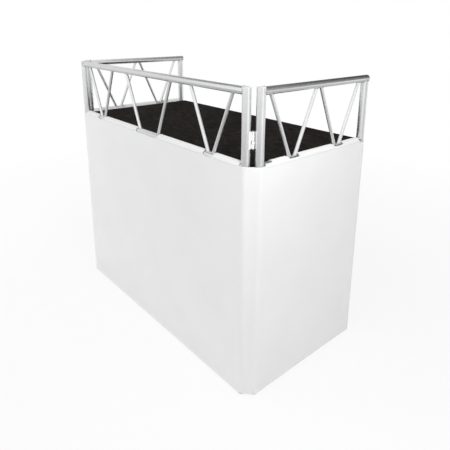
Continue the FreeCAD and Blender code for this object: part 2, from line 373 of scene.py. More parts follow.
@dataclass(frozen=True)
class Effect:
    """A shader node group that finishes share, with its sockets."""

    name: str
    inputs: tuple[tuple[str, str], ...]
    outputs: tuple[str, ...]

    def tree(self) -> Tree:
        """The group, built the first time it is asked for.

        Returns:
            The group's tree.
        """
        known = bpy.data.node_groups.get(self.name)
        if known:
            return known
        tree = bpy.data.node_groups.new(self.name, "ShaderNodeTree")
        for socket, kind in self.inputs:
            tree.interface.new_socket(socket, in_out="INPUT", socket_type=f"NodeSocket{kind}")
        for socket in self.outputs:
            tree.interface.new_socket(socket, in_out="OUTPUT", socket_type="NodeSocketFloat")
        entry = tree.nodes.new("NodeGroupInput")
        leave = tree.nodes.new("NodeGroupOutput")
        made = self.fill(Wiring(tree), {socket: entry.outputs[socket] for socket, _ in self.inputs})
        for socket, source in made.items():
            tree.links.new(source, leave.inputs[socket])
        return tree

    def fill(self, wire: Wiring, given: Sockets) -> Sockets:
        """Add the group's nodes, and give the source of each output."""
        raise NotImplementedError


@dataclass(frozen=True)
class DrawnGrain(Effect):
    """Long drawn streaks, soft cloudy patches and pits of bare metal."""

    name: str = "drawn grain"
    inputs: tuple[tuple[str, str], ...] = (("Vector", "Vector"), ("Streaks", "Vector"))
    outputs: tuple[str, ...] = ("Streak", "Cloud", "Pits")
    cloud: float = 14.0
    pits: float = 900.0
    contrast: Pair = (0.3, 0.7)

    def fill(self, wire: Wiring, given: Sockets) -> Sockets:
        """Make each mask from noise.

        Args:
            wire: Wiring of the tree.
            given: The group's inputs.

        Returns:
            The source of each output.
        """
        return {
            "Streak": wire.noise(given["Streaks"], 1.0, 3.0),
            "Cloud": wire.span(wire.noise(given["Vector"], self.cloud, 4.0), 0, 1, *self.contrast),
            "Pits": wire.noise(given["Vector"], self.pits, 2.0),
        }


@dataclass(frozen=True)
class KnitWeave(Effect):
    """Over and under of knitted yarn, with a slow change of tone."""

    name: str = "knit weave"
    inputs: tuple[tuple[str, str], ...] = (("Vector", "Vector"), ("Pitch", "Float"))
    outputs: tuple[str, ...] = ("Height", "Shade")
    patches: float = 5.0
    contrast: Pair = (0.3, 0.7)

    def fill(self, wire: Wiring, given: Sockets) -> Sockets:
        """Cross two waves for the yarn, and make the tone from noise.

        Args:
            wire: Wiring of the tree.
            given: The group's inputs.

        Returns:
            The source of each output.
        """
        axes = wire.add("SeparateXYZ", {0: given["Vector"]})
        waves = []
        for axis in ("X", "Y"):
            phase = wire.math("DIVIDE", axes.outputs[axis], given["Pitch"])
            waves.append(wire.math("SINE", wire.math("MULTIPLY", phase, 2 * math.pi)))
        return {
            "Height": wire.span(wire.math("MULTIPLY", *waves), 0, 1, -1, 1),
            "Shade": wire.span(wire.noise(given["Vector"], self.patches, 3.0), 0, 1, *self.contrast),
        }


@dataclass(frozen=True)
class StitchRow(Effect):
    """A row of stitches at one height of a cloth's own map, with a band of painted shade along it."""

    name: str = "stitch row"
    inputs: tuple[tuple[str, str], ...] = (("Vector", "Vector"), ("Row", "Float"), ("Pitch", "Float"))
    outputs: tuple[str, ...] = ("Thread", "Seam")
    thread: Pair = (0.0003, 0.0006)
    # Distances from the row over which the seam's painted shade fades from full to none.
    seam: Pair = (0.0005, 0.0018)
    dash: Pair = (0.3, 0.4)

    def fill(self, wire: Wiring, given: Sockets) -> Sockets:
        """Dash a line along the row, and a softer band of painted shade along the seam.

        Args:
            wire: Wiring of the tree.
            given: The group's inputs.

        Returns:
            The source of each output.
        """
        axes = wire.add("SeparateXYZ", {0: given["Vector"]})
        away = wire.math("ABSOLUTE", wire.math("SUBTRACT", axes.outputs["Y"], given["Row"]))
        step = wire.math("FRACT", wire.math("DIVIDE", axes.outputs["X"], given["Pitch"]))
        middle = wire.math("ABSOLUTE", wire.math("SUBTRACT", step, 0.5))
        line = wire.span(away, 1, 0, *self.thread)
        dash = wire.span(middle, 1, 0, *self.dash)
        return {"Thread": wire.math("MULTIPLY", line, dash), "Seam": wire.span(away, 1, 0, *self.seam)}


@dataclass(frozen=True)
class SpeckledSkin(Effect):
    """Fine moulded or painted skin, with soft handling marks."""

    name: str = "speckled skin"
    inputs: tuple[tuple[str, str], ...] = (("Vector", "Vector"), ("Scale", "Float"))
    outputs: tuple[str, ...] = ("Skin", "Marks")
    marks: float = 40.0
    contrast: Pair = (0.35, 0.7)

    def fill(self, wire: Wiring, given: Sockets) -> Sockets:
        """Make the skin and the marks from noise.

        Args:
            wire: Wiring of the tree.
            given: The group's inputs.

        Returns:
            The source of each output.
        """
        marks = wire.noise(given["Vector"], self.marks, 5.0)
        skin = wire.noise(given["Vector"], given["Scale"], 3.0)
        return {"Skin": skin, "Marks": wire.span(marks, 0, 1, *self.contrast)}


GRAIN = DrawnGrain()
WEAVE = KnitWeave()
STITCHES = StitchRow()
SPECKLE = SpeckledSkin()


@dataclass(frozen=True)
class Finish:
    """A procedural finish, made once and shared by the pieces that have it."""

    name: str

    def material(self) -> bpy.types.Material:
        """The finish as a material, made the first time it is asked for.

        Returns:
            The material.
        """
        known = bpy.data.materials.get(self.name)
        if known:
            return known
        made, wire = Wiring.material(self.name)
        self.wire(wire, made.node_tree.nodes["Principled BSDF"])
        return made

    def wire(self, wire: Wiring, skin: Node) -> None:
        """Add the finish's nodes round its Principled shader."""
        raise NotImplementedError

    @staticmethod
    def feed(wire: Wiring, skin: Node, relief: tuple[Socket, float, float], **sockets: Socket) -> None:
        """Link a finish to its shader.

        Args:
            wire: Wiring of the material's tree.
            skin: Its shader.
            relief: Height of the surface, with the bump's strength and distance.
            **sockets: Colour, roughness and the like, by their names with _ for a space.
        """
        for name, source in sockets.items():
            wire.tree.links.new(source, skin.inputs[name.replace("_", " ")])
        bump = wire.add("Bump", dict(zip(("Height", "Strength", "Distance"), relief)))
        wire.tree.links.new(bump.outputs["Normal"], skin.inputs["Normal"])

    def dress(self, *pieces: Piece) -> None:
        """Put the finish on pieces.

        Args:
            *pieces: The pieces.
        """
        for piece in pieces:
            if piece.material_slots:
                piece.material_slots[0].material = self.material()
            else:
                piece.data.materials.append(self.material())

    def dress_nodes(self, pattern: str) -> None:
        """Put the finish on the frame's nodes whose names fit a pattern."""
        self.dress(*(piece for name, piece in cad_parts.items() if fnmatch(name, pattern)))


@dataclass(frozen=True)
class DrawnAluminium(Finish):
    """Bright drawn aluminium, with streaks along the bar."""

    run: Run = Run.SLANTED
    light: Triple = (0.90, 0.905, 0.91)
    dull: Triple = (0.83, 0.838, 0.846)
    polish: Pair = (0.17, 0.33)
    metallic: float = 1.0
    fine: float = 520.0
    coarse: float = 3.0
    slanted: float = 130.0
    streak_share: float = 0.7
    worn: Pair = (0.1, 0.7)
    rubbed: Pair = (0.25, 0.75)
    bump: Pair = (0.08, 0.0002)

    def wire(self, wire: Wiring, skin: Node) -> None:
        """Streak the roughness and the tone along the bar.

        Args:
            wire: Wiring of the tree.
            skin: The material's Principled shader.
        """
        place = wire.place()
        scale = [self.coarse if along else self.fine for along in self.run.value]
        if self.run is Run.SLANTED:
            scale = [self.slanted] * 3
        inputs = {"Vector": place, "Streaks": wire.stretched(place, scale)}
        grain = wire.add("Group", inputs, node_tree=GRAIN.tree())
        cloud, streak = grain.outputs["Cloud"], grain.outputs["Streak"]
        skin.inputs["Metallic"].default_value = self.metallic
        tone = wire.span(wire.math("MULTIPLY", cloud, streak), 0, 1, *self.worn)
        mixed = wire.mingle(streak, self.streak_share, cloud)
        self.feed(wire, skin, (streak, *self.bump), Base_Color=wire.shade(tone, self.light, self.dull),
                  Roughness=wire.span(mixed, *self.polish, *self.rubbed))


@dataclass(frozen=True)
class WeldMetal(Finish):
    """Cast skin of a weld bead."""

    light: Triple = (0.82, 0.82, 0.82)
    pitted: Triple = (0.55, 0.56, 0.57)
    rough: Pair = (0.28, 0.45)
    bump: Pair = (0.3, 0.0004)

    def wire(self, wire: Wiring, skin: Node) -> None:
        """Pit and dull the bead.

        Args:
            wire: Wiring of the tree.
            skin: The material's Principled shader.
        """
        place = wire.place()
        group = wire.add("Group", {"Vector": place, "Streaks": place}, node_tree=GRAIN.tree())
        pits = group.outputs["Pits"]
        skin.inputs["Metallic"].default_value = 1.0
        self.feed(wire, skin, (pits, *self.bump), Base_Color=wire.shade(pits, self.light, self.pitted),
                  Roughness=wire.span(group.outputs["Cloud"], *self.rough))


@dataclass(frozen=True)
class SkinFinish(Finish):
    """Moulded, painted, plated or rubber skin with a fine texture."""

    light: Triple = (0.6, 0.6, 0.6)
    worn: Triple = (0.5, 0.5, 0.5)
    rough: Pair = (0.4, 0.55)
    metallic: float = 0.0
    scale: float = 700.0
    relief: float = 0.15
    depth: float = 0.0003

    def wire(self, wire: Wiring, skin: Node) -> None:
        """Speckle the surface and mark it by handling.

        Args:
            wire: Wiring of the tree.
            skin: The material's Principled shader.
        """
        group = wire.add("Group", {"Vector": wire.place(), "Scale": self.scale}, node_tree=SPECKLE.tree())
        marks = group.outputs["Marks"]
        skin.inputs["Metallic"].default_value = self.metallic
        self.feed(wire, skin, (group.outputs["Skin"], self.relief, self.depth),
                  Base_Color=wire.shade(marks, self.light, self.worn),
                  Roughness=wire.span(marks, *self.rough))


@dataclass(frozen=True)
class StretchCloth(Finish):
    """Matt white stretch knit with stitched hems, and painted shade along their seam rows."""

    light: Triple = (0.86, 0.86, 0.86)
    # Dark end of the knit's random mottle, and the colour of the painted shade along the seam rows.
    shaded: Triple = (0.72, 0.725, 0.735)
    pitch: float = 0.0011
    stitch: float = 0.0036
    rows: tuple[float, ...] = (0.0205, BOOTH.drop + 0.002)
    # How dark the painted shade along each seam row is.
    depths: tuple[float, ...] = (0.3, 1.0)
    cloud_share: float = 0.18
    thread: float = 3.0
    rough: Pair = (0.7, 0.85)
    bump: Pair = (0.12, 0.0003)
    sheen: float = 0.15
    sheen_rough: float = 0.5
    gloss: float = 0.25

    def wire(self, wire: Wiring, skin: Node) -> None:
        """Knit the cloth on its own map, sew its hems and paint shade along their seams.

        Args:
            wire: Wiring of the tree.
            skin: The material's Principled shader.
        """
        flat = wire.add("UVMap", uv_map="UVMap").outputs["UV"]
        weave = wire.add("Group", {"Vector": flat, "Pitch": self.pitch}, node_tree=WEAVE.tree())
        height = weave.outputs["Height"]
        tone = wire.math("MULTIPLY", weave.outputs["Shade"], self.cloud_share)
        for row, depth in zip(self.rows, self.depths):
            sewn = wire.add("Group", {"Vector": flat, "Row": row, "Pitch": self.stitch},
                            node_tree=STITCHES.tree())
            height = wire.math("ADD", height, wire.math("MULTIPLY", sewn.outputs["Thread"], self.thread))
            # Painted shade: the colour darkens toward the dark colour in a band along each seam row.
            tone = wire.math("MAXIMUM", tone, wire.math("MULTIPLY", sewn.outputs["Seam"], depth))
        skin.inputs["Sheen Weight"].default_value = self.sheen
        skin.inputs["Sheen Roughness"].default_value = self.sheen_rough
        skin.inputs["Specular IOR Level"].default_value = self.gloss
        self.feed(wire, skin, (height, *self.bump), Base_Color=wire.shade(tone, self.light, self.shaded),
                  Roughness=wire.span(weave.outputs["Height"], *self.rough))


@dataclass(frozen=True)
class NeedleCarpet(Finish):
    """Black needle-punched carpet."""

    dark: Triple = (0.0006, 0.0005, 0.0004)
    light: Triple = (0.0295, 0.0247, 0.0217)
    ribs: Triple = (20.0, 92.0, 92.0)
    rib_share: float = 0.75
    fibres: float = 800.0
    patches: float = 7.0
    patch_tones: Pair = (0.4, 1.3)
    contrast: Pair = (0.38, 0.60)
    rough: Pair = (0.85, 0.98)
    bump: Pair = (0.7, 0.001)
    gloss: float = 0.05

    def wire(self, wire: Wiring, skin: Node) -> None:
        """Mat the fibres, with faint ribs along the table.

        Args:
            wire: Wiring of the tree.
            skin: The material's Principled shader.
        """
        place = wire.place()
        rib = wire.noise(wire.stretched(place, self.ribs), 1.0, 4.0, Roughness=0.7)
        mixed = wire.mingle(rib, self.rib_share, wire.noise(place, self.fibres, 4.0, Roughness=0.75))
        patch = wire.span(wire.noise(place, self.patches, 3.0), *self.patch_tones)
        tone = wire.math("MULTIPLY", wire.span(mixed, 0, 1, *self.contrast), patch)
        skin.inputs["Specular IOR Level"].default_value = self.gloss
        self.feed(wire, skin, (mixed, *self.bump), Base_Color=wire.shade(tone, self.dark, self.light),
                  Roughness=wire.span(mixed, *self.rough))


@dataclass(frozen=True)
class PlyBoard(Finish):
    """Birch plywood, seen under the table."""

    light: Triple = (0.62, 0.45, 0.28)
    dark: Triple = (0.42, 0.28, 0.16)
    grain: Triple = (1.5, 26.0, 26.0)
    pores: Triple = (40.0, 900.0, 900.0)
    ring_scale: float = 1.6
    ring_share: float = 0.75
    contrast: Pair = (0.3, 0.7)
    rough: Pair = (0.5, 0.7)
    bump: Pair = (0.15, 0.0004)

    def wire(self, wire: Wiring, skin: Node) -> None:
        """Run the grain along the board.

        Args:
            wire: Wiring of the tree.
            skin: The material's Principled shader.
        """
        place = wire.place()
        rings = wire.noise(wire.stretched(place, self.grain), self.ring_scale, 5.0, Distortion=1.2)
        pore = wire.noise(wire.stretched(place, self.pores), 1.0, 2.0)
        tone = wire.mingle(rings, self.ring_share, pore)
        shade = wire.shade(wire.span(tone, 0, 1, *self.contrast), self.light, self.dark)
        self.feed(wire, skin, (tone, *self.bump), Base_Color=shade, Roughness=wire.span(pore, *self.rough))


TUBE_ACROSS = DrawnAluminium("tube along the front", Run.ACROSS)
TUBE_DEEP = DrawnAluminium("tube along a wing", Run.DEEP)
TUBE_UPRIGHT = DrawnAluminium("upright tube", Run.UPRIGHT, metallic=0.92)
ROD = DrawnAluminium("lattice rod aluminium", polish=(0.25, 0.39), metallic=0.86)
LEDGE = DrawnAluminium("ledge aluminium", polish=(0.3, 0.45))
WELD = WeldMetal("weld bead")
HINGE_LEAF = SkinFinish("hinge leaf coat", (0.92, 0.92, 0.91), (0.84, 0.84, 0.84), (0.3, 0.45),
                        metallic=0.1, scale=900.0, relief=0.3)
HINGE_PIN = SkinFinish("hinge pin zinc", (0.66, 0.66, 0.64), (0.5, 0.5, 0.5), (0.22, 0.36),
                       metallic=1.0, scale=500.0, relief=0.1)
HINGE_WASHER = SkinFinish("hinge washer nylon", (0.62, 0.61, 0.58), (0.5, 0.5, 0.48), (0.4, 0.5))
END_CAP = SkinFinish("moulded end cap", (0.76, 0.77, 0.77), (0.66, 0.67, 0.67), (0.35, 0.5),
                     scale=1100.0, relief=0.2)
FOOT = SkinFinish("moulded foot", (0.60, 0.60, 0.60), (0.48, 0.48, 0.48), (0.5, 0.7), scale=800.0, relief=0.4)
HOOK_STRIP = SkinFinish("hook strip", (0.70, 0.70, 0.70), (0.60, 0.60, 0.60), (0.75, 0.95),
                        scale=1600.0, relief=0.9)
SCRIM = StretchCloth("stretch scrim")
CARPET = NeedleCarpet("needle carpet")
BOARD = PlyBoard("plywood board")


@dataclass
class WeldRuns:
    """Weld beads of one sub-assembly, joined into one piece."""

    name: str
    body: str
    ripple: float = 0.22
    pitch: float = 0.0026
    facets: int = 8
    ring_step: float = 0.0011
    least_rings: int = 40
    cut_step: float = 0.0009
    least_cuts: int = 8
    end_share: float = 1.04
    end_power: int = 16
    sharp: float = 60.0
    beads: list[Piece] = field(default_factory=list)

    def round_bar(self, foot: Vector, way: Vector, bar_r: float, post: Vector, post_way: Vector,
                  post_r: float, bead: float, least: float = 0.0) -> None:
        """Bead round the end of a bar that sits against another tube.

        Args:
            foot: A point on the bar's axis at the tube's axis.
            way: Direction of the bar, away from the tube.
            bar_r: The bar's radius.
            post: A point on the tube's axis.
            post_way: Direction of the tube.
            post_r: The tube's radius.
            bead: The bead's radius.
            least: How far from the tube's axis the bar ends beside a thinner tube.
        """
        Bench.clear()
        rings = max(self.least_rings, int(2 * math.pi * bar_r / self.ring_step))
        bpy.ops.mesh.primitive_torus_add(major_segments=rings, minor_segments=self.facets,
                                         major_radius=bar_r, minor_radius=bead)
        piece = Bench.started(self.name)
        local = Bench.points(piece)
        turn = np.arctan2(local[:, 1], local[:, 0])
        swell = 1 + self.ripple * np.sin(turn * round(2 * math.pi * bar_r / self.pitch))
        out = (np.hypot(local[:, 0], local[:, 1]) - bar_r) * swell
        rise = local[:, 2] * swell
        way = way.normalized()
        first = post_way.cross(way).normalized()
        second = way.cross(first)
        spoke = np.outer(np.cos(turn), first) + np.outer(np.sin(turn), second)
        seat = self.seat(np.array(foot) + bar_r * spoke, np.array(way), np.array(post),
                         np.array(post_way.normalized()), post_r, least)
        Bench.move(piece, seat + spoke * out[:, None] + np.outer(rise, way))
        self.beads.append(piece)

    @staticmethod
    def seat(start: Array, way: Array, post: Array, post_way: Array, post_r: float, least: float) -> Array:
        """Where lines along a bar meet the tube it sits against, or the end of the bar beside it.

        Args:
            start: A point on each line.
            way: Direction of the bar.
            post: A point on the tube's axis.
            post_way: Direction of the tube.
            post_r: The tube's radius.
            least: How far from the tube's axis the bar ends at least.

        Returns:
            The points where they meet.
        """
        across = start - post
        across = across - np.outer(across @ post_way, post_way)
        run = way - post_way * (way @ post_way)
        square = run @ run
        facing = across @ run
        beyond = (across * across).sum(1) - post_r**2
        reach = (-facing + np.sqrt(np.maximum(facing * facing - square * beyond, 0.0))) / square
        return start + np.outer(np.maximum(reach, least), way)

    def straight(self, start: Vector, end: Vector, bead: float) -> None:
        """Bead along a straight seam.

        Args:
            start: One end of the seam.
            end: Its other end.
            bead: The bead's radius.
        """
        Bench.clear()
        way = end - start
        bpy.ops.mesh.primitive_cylinder_add(vertices=self.facets, radius=bead, depth=way.length,
                                            end_fill_type="NGON")
        piece = Bench.started(self.name)
        mesh = piece.data
        ends = np.zeros(2 * len(mesh.edges), int)
        mesh.edges.foreach_get("vertices", ends)
        low, high = Bench.points(piece)[ends.reshape(-1, 2).T, 2]
        sides = np.abs(high - low) > way.length / 2
        Bench.edit(piece, np.zeros(len(mesh.polygons), bool))
        Bench.close()
        Bench.choose_edges()
        mesh.edges.foreach_set("select", sides)
        bpy.ops.object.mode_set(mode="EDIT")
        bpy.ops.mesh.subdivide(number_cuts=max(self.least_cuts, int(way.length / self.cut_step)))
        Bench.close()
        local = Bench.points(piece)
        swell = 1 + self.ripple * np.sin(local[:, 2] * 2 * math.pi / self.pitch)
        share = 2 * np.abs(local[:, 2]) / way.length
        taper = np.sqrt(np.clip(self.end_share - share**self.end_power, 0, 1))
        local[:, :2] *= (swell * taper)[:, None]
        turn = np.array(way.to_track_quat("Z", "Y").to_matrix())
        Bench.move(piece, local @ turn.T + np.array((start + end) / 2))
        self.beads.append(piece)

    def build(self) -> Piece:
        """Join, dress and mount the beads.

        Returns:
            The joined piece.
        """
        piece = Bench.join(self.name, self.beads)
        Bench.smooth(piece, self.sharp)
        WELD.dress(piece)
        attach(piece, self.body)
        return piece


@dataclass
class TrussPanel:
    """One flat frame of posts, rails and lattice: the welds on it and the finishes of its nodes."""

    prefix: str
    body: str
    origin: Vector
    along: Vector
    outward: Vector
    posts: Pair
    vees: tuple[Triple, ...]
    ledges: tuple[float, ...]
    over_rear: bool
    open_bead: float = 0.0022
    covered_bead: float = 0.0012
    rod_bead: float = 0.0017
    rear_end: float = 0.0075
    ledge_leg: Pair = (0.006, 0.009)
    ledge_half: float = 0.028

    @classmethod
    def front(cls) -> "TrussPanel":
        """The fixed front frame.

        Returns:
            The panel.
        """
        vees = ((-0.411, 0.031, 0.226), (0.0, 0.142, 0.333), (0.411, 0.031, 0.226))
        return cls("front", "front_frame", Vector((0, BOOTH.front_y, 0)), Vector((1, 0, 0)),
                   Vector((0, -1, 0)), (-BOOTH.front_x, BOOTH.front_x), vees, (-0.390, 0.0, 0.390), False)

    @classmethod
    def wing(cls, side: Side) -> "TrussPanel":
        """One hinged wing.

        Args:
            side: The wing's side.

        Returns:
            The panel.
        """
        vees = ((-0.110984, 0.031, 0.226), (0.143016, 0.031, 0.226))
        inset = 0.150
        return cls(side.wing, side.wing, Vector((side.value * BOOTH.wing_x, 0, 0)), Vector((0, 1, 0)),
                   Vector((side.value, 0, 0)), (BOOTH.wing_front_y, BOOTH.rear_y), vees,
                   (BOOTH.wing_front_y + inset, BOOTH.rear_y - inset), True)

    def at(self, distance: float, height: float) -> Vector:
        """The point at a distance along the panel and a height."""
        return self.origin + self.along * distance + UP * height

    def rail_welds(self) -> Piece:
        """Beads where the rails meet the posts.

        Returns:
            The joined beads.
        """
        welds = WeldRuns(f"{self.prefix}_rail_welds", self.body)
        heights = ((BOOTH.bottom_z, self.covered_bead), (BOOTH.mid_z, self.covered_bead),
                   (BOOTH.top_z, self.open_bead))
        for height, bead in heights:
            for end, distance in enumerate(self.posts):
                post = self.at(distance, height)
                top = height == BOOTH.top_z
                if end and self.over_rear and top:
                    welds.round_bar(post, -UP, BOOTH.tube_r, post, self.along, BOOTH.top_r, bead,
                                    self.rear_end)
                    continue
                way = -self.along if end else self.along
                rail_r = BOOTH.top_r if top else BOOTH.tube_r
                welds.round_bar(post, way, rail_r, post, UP, BOOTH.tube_r, bead)
        return welds.build()

    def rod_welds(self) -> Piece:
        """Beads where the lattice rods meet the rails.

        Returns:
            The joined beads.
        """
        welds = WeldRuns(f"{self.prefix}_rod_welds", self.body)
        depth = BOOTH.top_z - BOOTH.mid_z
        for centre, foot, top in self.vees:
            lean = (top - foot) / 2 / (depth - BOOTH.tube_r - BOOTH.top_r)
            for sign in (-1, 1):
                way = (self.along * (sign * lean) + UP).normalized()
                low = self.at(centre + sign * (foot / 2 - lean * BOOTH.tube_r), BOOTH.mid_z)
                high = self.at(centre + sign * (top / 2 + lean * BOOTH.top_r), BOOTH.top_z)
                for point, direction, rail_r in ((low, way, BOOTH.tube_r), (high, -way, BOOTH.top_r)):
                    welds.round_bar(point, direction, BOOTH.rod_r, point, self.along, rail_r, self.rod_bead)
        return welds.build()

    def ledge_welds(self) -> Piece:
        """Beads where the table ledges hang from the mid rail.

        Returns:
            The joined beads.
        """
        welds = WeldRuns(f"{self.prefix}_ledge_welds", self.body)
        for distance in self.ledges:
            for inward in self.ledge_leg:
                height = BOOTH.mid_z - math.sqrt(BOOTH.tube_r**2 - inward**2)
                ends = (distance - self.ledge_half, distance + self.ledge_half)
                seam = [self.at(end, height) - self.outward * inward for end in ends]
                welds.straight(*seam, self.covered_bead)
        return welds.build()

    def dress(self) -> None:
        """Give the frame's own nodes their finishes."""
        rails = TUBE_ACROSS if self.along.x else TUBE_DEEP
        finishes = {"post": TUBE_UPRIGHT, "rail": rails, "lattice_*": ROD, "caps": END_CAP, "feet": FOOT,
                    "ledges": LEDGE}
        for ending, finish in finishes.items():
            finish.dress_nodes(f"{self.prefix}_*{ending}")
        HOOK_STRIP.dress_nodes(self.prefix.removesuffix("_wing") + "_hook_strips")

    def build(self) -> list[Piece]:
        """Dress and weld the panel."""
        self.dress()
        return [self.rail_welds(), self.rod_welds(), self.ledge_welds()]


@dataclass
class HingePair:
    """The upper and lower hinge of one wing."""

    side: Side
    feet: Pair = (0.140, 0.950)
    height: float = 0.057
    front_wrap: float = 60.0
    wing_wrap: float = 20.0
    bead: float = 0.0012
    stand_off: float = 0.0004
    end_gap: float = 0.001

    def build(self) -> list[Piece]:
        """Dress the hinges and weld their leaves to the posts.

        Returns:
            The weld pieces.
        """
        word, sign = self.side.word, self.side.value
        for ending, finish in {"*leaves": HINGE_LEAF, "pins": HINGE_PIN, "washers": HINGE_WASHER}.items():
            finish.dress_nodes(f"{word}_hinge_{ending}")
        post = Vector((sign * BOOTH.front_x, BOOTH.front_y, 0))
        wing_post = Vector((sign * BOOTH.wing_x, BOOTH.wing_front_y, 0))
        across = wing_post - post
        return [
            self.leaf_welds(f"{word}_hinge_front_welds", "front_frame", post, across, self.front_wrap),
            self.leaf_welds(f"{word}_hinge_wing_welds", self.side.wing, wing_post, -across, self.wing_wrap),
        ]

    def leaf_welds(self, name: str, body: str, post: Vector, toward: Vector, wrap: float) -> Piece:
        """Beads down both edges of the leaves on one post.

        Args:
            name: The piece's name.
            body: The body it moves with.
            post: The post's axis, at floor height.
            toward: Direction from the post to the pin.
            wrap: How far the leaves wrap the post, each way, in degrees.

        Returns:
            The joined beads.
        """
        welds = WeldRuns(name, body)
        toward = toward.normalized()
        for foot in self.feet:
            for turn in (-wrap, wrap):
                spoke = Matrix.Rotation(math.radians(turn), 3, "Z") @ toward
                low = post + spoke * (BOOTH.tube_r + self.stand_off) + UP * (foot + self.end_gap)
                welds.straight(low, low + UP * (self.height - 2 * self.end_gap), self.bead)
        return welds.build()


@dataclass
class ScrimSheet:
    """A stretch of scrim: a hemmed sheet from the floor to the mid rail, with flaps over the rail.

    Sizes are in metres. Along runs with the rails and up runs from the hem to the mid rail and on over it.
    A pair of limits says where an effect starts and where it is full.
    """

    name: str
    replaced: tuple[str, ...]
    start: float
    end: float
    spans: tuple[Pair, ...]
    rests_on: tuple[str, ...]
    step: float = 0.012
    wrap: float = math.radians(215)
    hem: float = 0.0215
    hem_rise: float = 0.0005
    seam_depth: float = 0.0004
    fillet: float = 0.004
    notch_sag: float = 0.001
    notch_turn: float = math.radians(12)
    tuck: float = 0.0011
    bow: float = 0.008
    seam_width: float = 0.0008
    rim: float = 0.0034
    flap_hem: Pair = (0.005, 0.0065)
    notch_round: Pair = (0.0028, 0.007)
    near_flap: tuple[float, ...] = (-0.011, -0.007, -0.004, -0.002, -0.0008, 0.0, 0.002, 0.005, 0.0065, 0.009)
    hem_rows: tuple[float, ...] = (0, 0.0012, 0.003, 0.008, 0.014, 0.0185, 0.0198, 0.0205, 0.0212, 0.0225,
                                   0.025, 0.031, 0.04)
    flat_rows: tuple[float, float, int] = (0.052, 0.066, 52)
    rail_rows: tuple[float, ...] = (0.054, 0.044, 0.036, 0.029, 0.023, 0.0185, 0.0165, 0.015, 0.011, 0.0075,
                                    0.005, 0.0042, 0.0035, 0.0028, 0.0018, 0.0)
    rim_rows: tuple[float, ...] = (0.0008, 0.0014, 0.002, 0.0026)
    notch_rows: int = 4
    over_rows: int = 20
    hem_fade: float = 0.002
    rim_fade: Pair = (-0.0008, 0.0014)
    tuck_sides: Limits = ((-0.012, -0.005), (0.0, 0.004))
    tuck_rows: Pair = (0.001, 0.008)
    bow_rows: Limits = ((0.075, 0.32), (0.30, 0.03))
    bow_sides: Limits = ((-0.12, 0.26), (0.0, 0.05))
    sag_sides: Limits = ((0.0, 0.03), (0.05, 0.09))
    notch_fade: Pair = (0.02, 0.03)
    lift_rows: Pair = (-0.06, -0.004)
    sharp: float = 50.0
    wave_depth: float = 0.0
    wave_rates: tuple[tuple[float, ...], ...] = ((0.0, 0.0), (0.0, 0.0), (0.0, 0.0, 0.0))
    wave_calm: float = 1.0
    wave_rows: Limits = ((0.07, 0.25), (0.2, 0.03))

    def line(self, along: Array) -> tuple[Array, Array]:
        """Points at floor height on the tube line behind the sheet, and the way out from each."""
        raise NotImplementedError

    def mount(self, piece: Piece) -> None:
        """Make the sheet move with what carries it."""
        raise NotImplementedError

    def local_relief(self, along: Array, up: Array) -> Array:
        """Folds that only this sheet has, as heights above it."""
        return np.zeros_like(along)

    def extra_stations(self) -> list[float]:
        """Distances that this sheet needs a column of points at."""
        return []

    def stations(self) -> Array:
        """Distances of the columns of points along the sheet.

        Returns:
            The distances, in order.
        """
        marks = [low + gap for low, _ in self.spans for gap in self.near_flap]
        marks += [high - gap for _, high in self.spans for gap in self.near_flap]
        marks += self.extra_stations()
        count = round((self.end - self.start) / self.step)
        even = [x for x in np.linspace(self.start, self.end, count + 1)
                if all(abs(x - mark) > self.step / 4 for mark in marks) or x in (self.start, self.end)]
        inside = [x for x in marks if self.start < x < self.end]
        return np.unique(np.round(even + inside, 6))

    def heights(self) -> Array:
        """Distances of the rows of points up the sheet and over the rail.

        Returns:
            The distances, in order.
        """
        start, head, count = self.flat_rows
        rows = [*self.hem_rows, *np.linspace(start, BOOTH.drop - head, count)]
        rows += [BOOTH.drop - gap for gap in self.rail_rows]
        if self.spans:
            notch = np.linspace(self.rim, self.notch_turn * BOOTH.scrim_r, self.notch_rows)
            over = np.linspace(notch[-1], self.wrap * BOOTH.scrim_r, self.over_rows)[1:]
            rows += [BOOTH.drop + gap for gap in (*self.rim_rows, *notch, *over)]
        return np.array(rows)

    def from_flap(self, along: Array) -> Array:
        """Distance to the nearest flap's edge: below 0 inside a flap.

        Args:
            along: Distances along the sheet.

        Returns:
            The distances.
        """
        if not self.spans:
            return np.full_like(along, 1.0)
        gaps = [np.maximum(low - along, along - high) for low, high in self.spans]
        return np.min(gaps, axis=0)

    def notch_gap(self, along: Array) -> Array:
        """Distance to the nearest edge of a notch between flaps: below 0 on a flap."""
        return self.from_flap(along)

    def grown(self, along: Array) -> Array:
        """Share of its full height that the cloth in a notch has: 0 where it ends at the rail's centre.

        Args:
            along: Distances along the sheet.

        Returns:
            The shares.
        """
        if not self.spans:
            return np.zeros_like(along)
        return ((along > self.spans[0][0]) & (along < self.spans[-1][1])).astype(float)

    def lift(self, along: Array) -> Array:
        """How far the sheet's top edge stands above the rail's centre, away from the flaps."""
        return np.zeros_like(along)

    def from_post(self, along: Array) -> Array:
        """Distance to the nearer of the posts that the sheet is stretched between."""
        return np.minimum(along - self.start, self.end - along)

    @staticmethod
    def held(up: Array, foot: Pair, head: Pair) -> Array:
        """Smooth band of rows: up over the foot's heights, down over the head's, told from the rail."""
        return band(up, foot, (BOOTH.drop - head[0], BOOTH.drop - head[1]))

    def waves(self, along: Array, up: Array) -> Array:
        """Faint standing waves, calm beside the posts and the hems.

        Args:
            along: Distances along the sheet.
            up: Distances up the sheet.

        Returns:
            The heights, outwards.
        """
        (rate, phase), (up_rate, up_phase), (share, slant, up_slant) = self.wave_rates
        wave = np.sin(along * rate + phase) * np.sin(up * up_rate + up_phase)
        wave += share * np.sin(along * slant + up * up_slant)
        calm = ramp(self.from_post(along), 0.0, self.wave_calm)
        return self.wave_depth * wave * calm * self.held(up, *self.wave_rows)

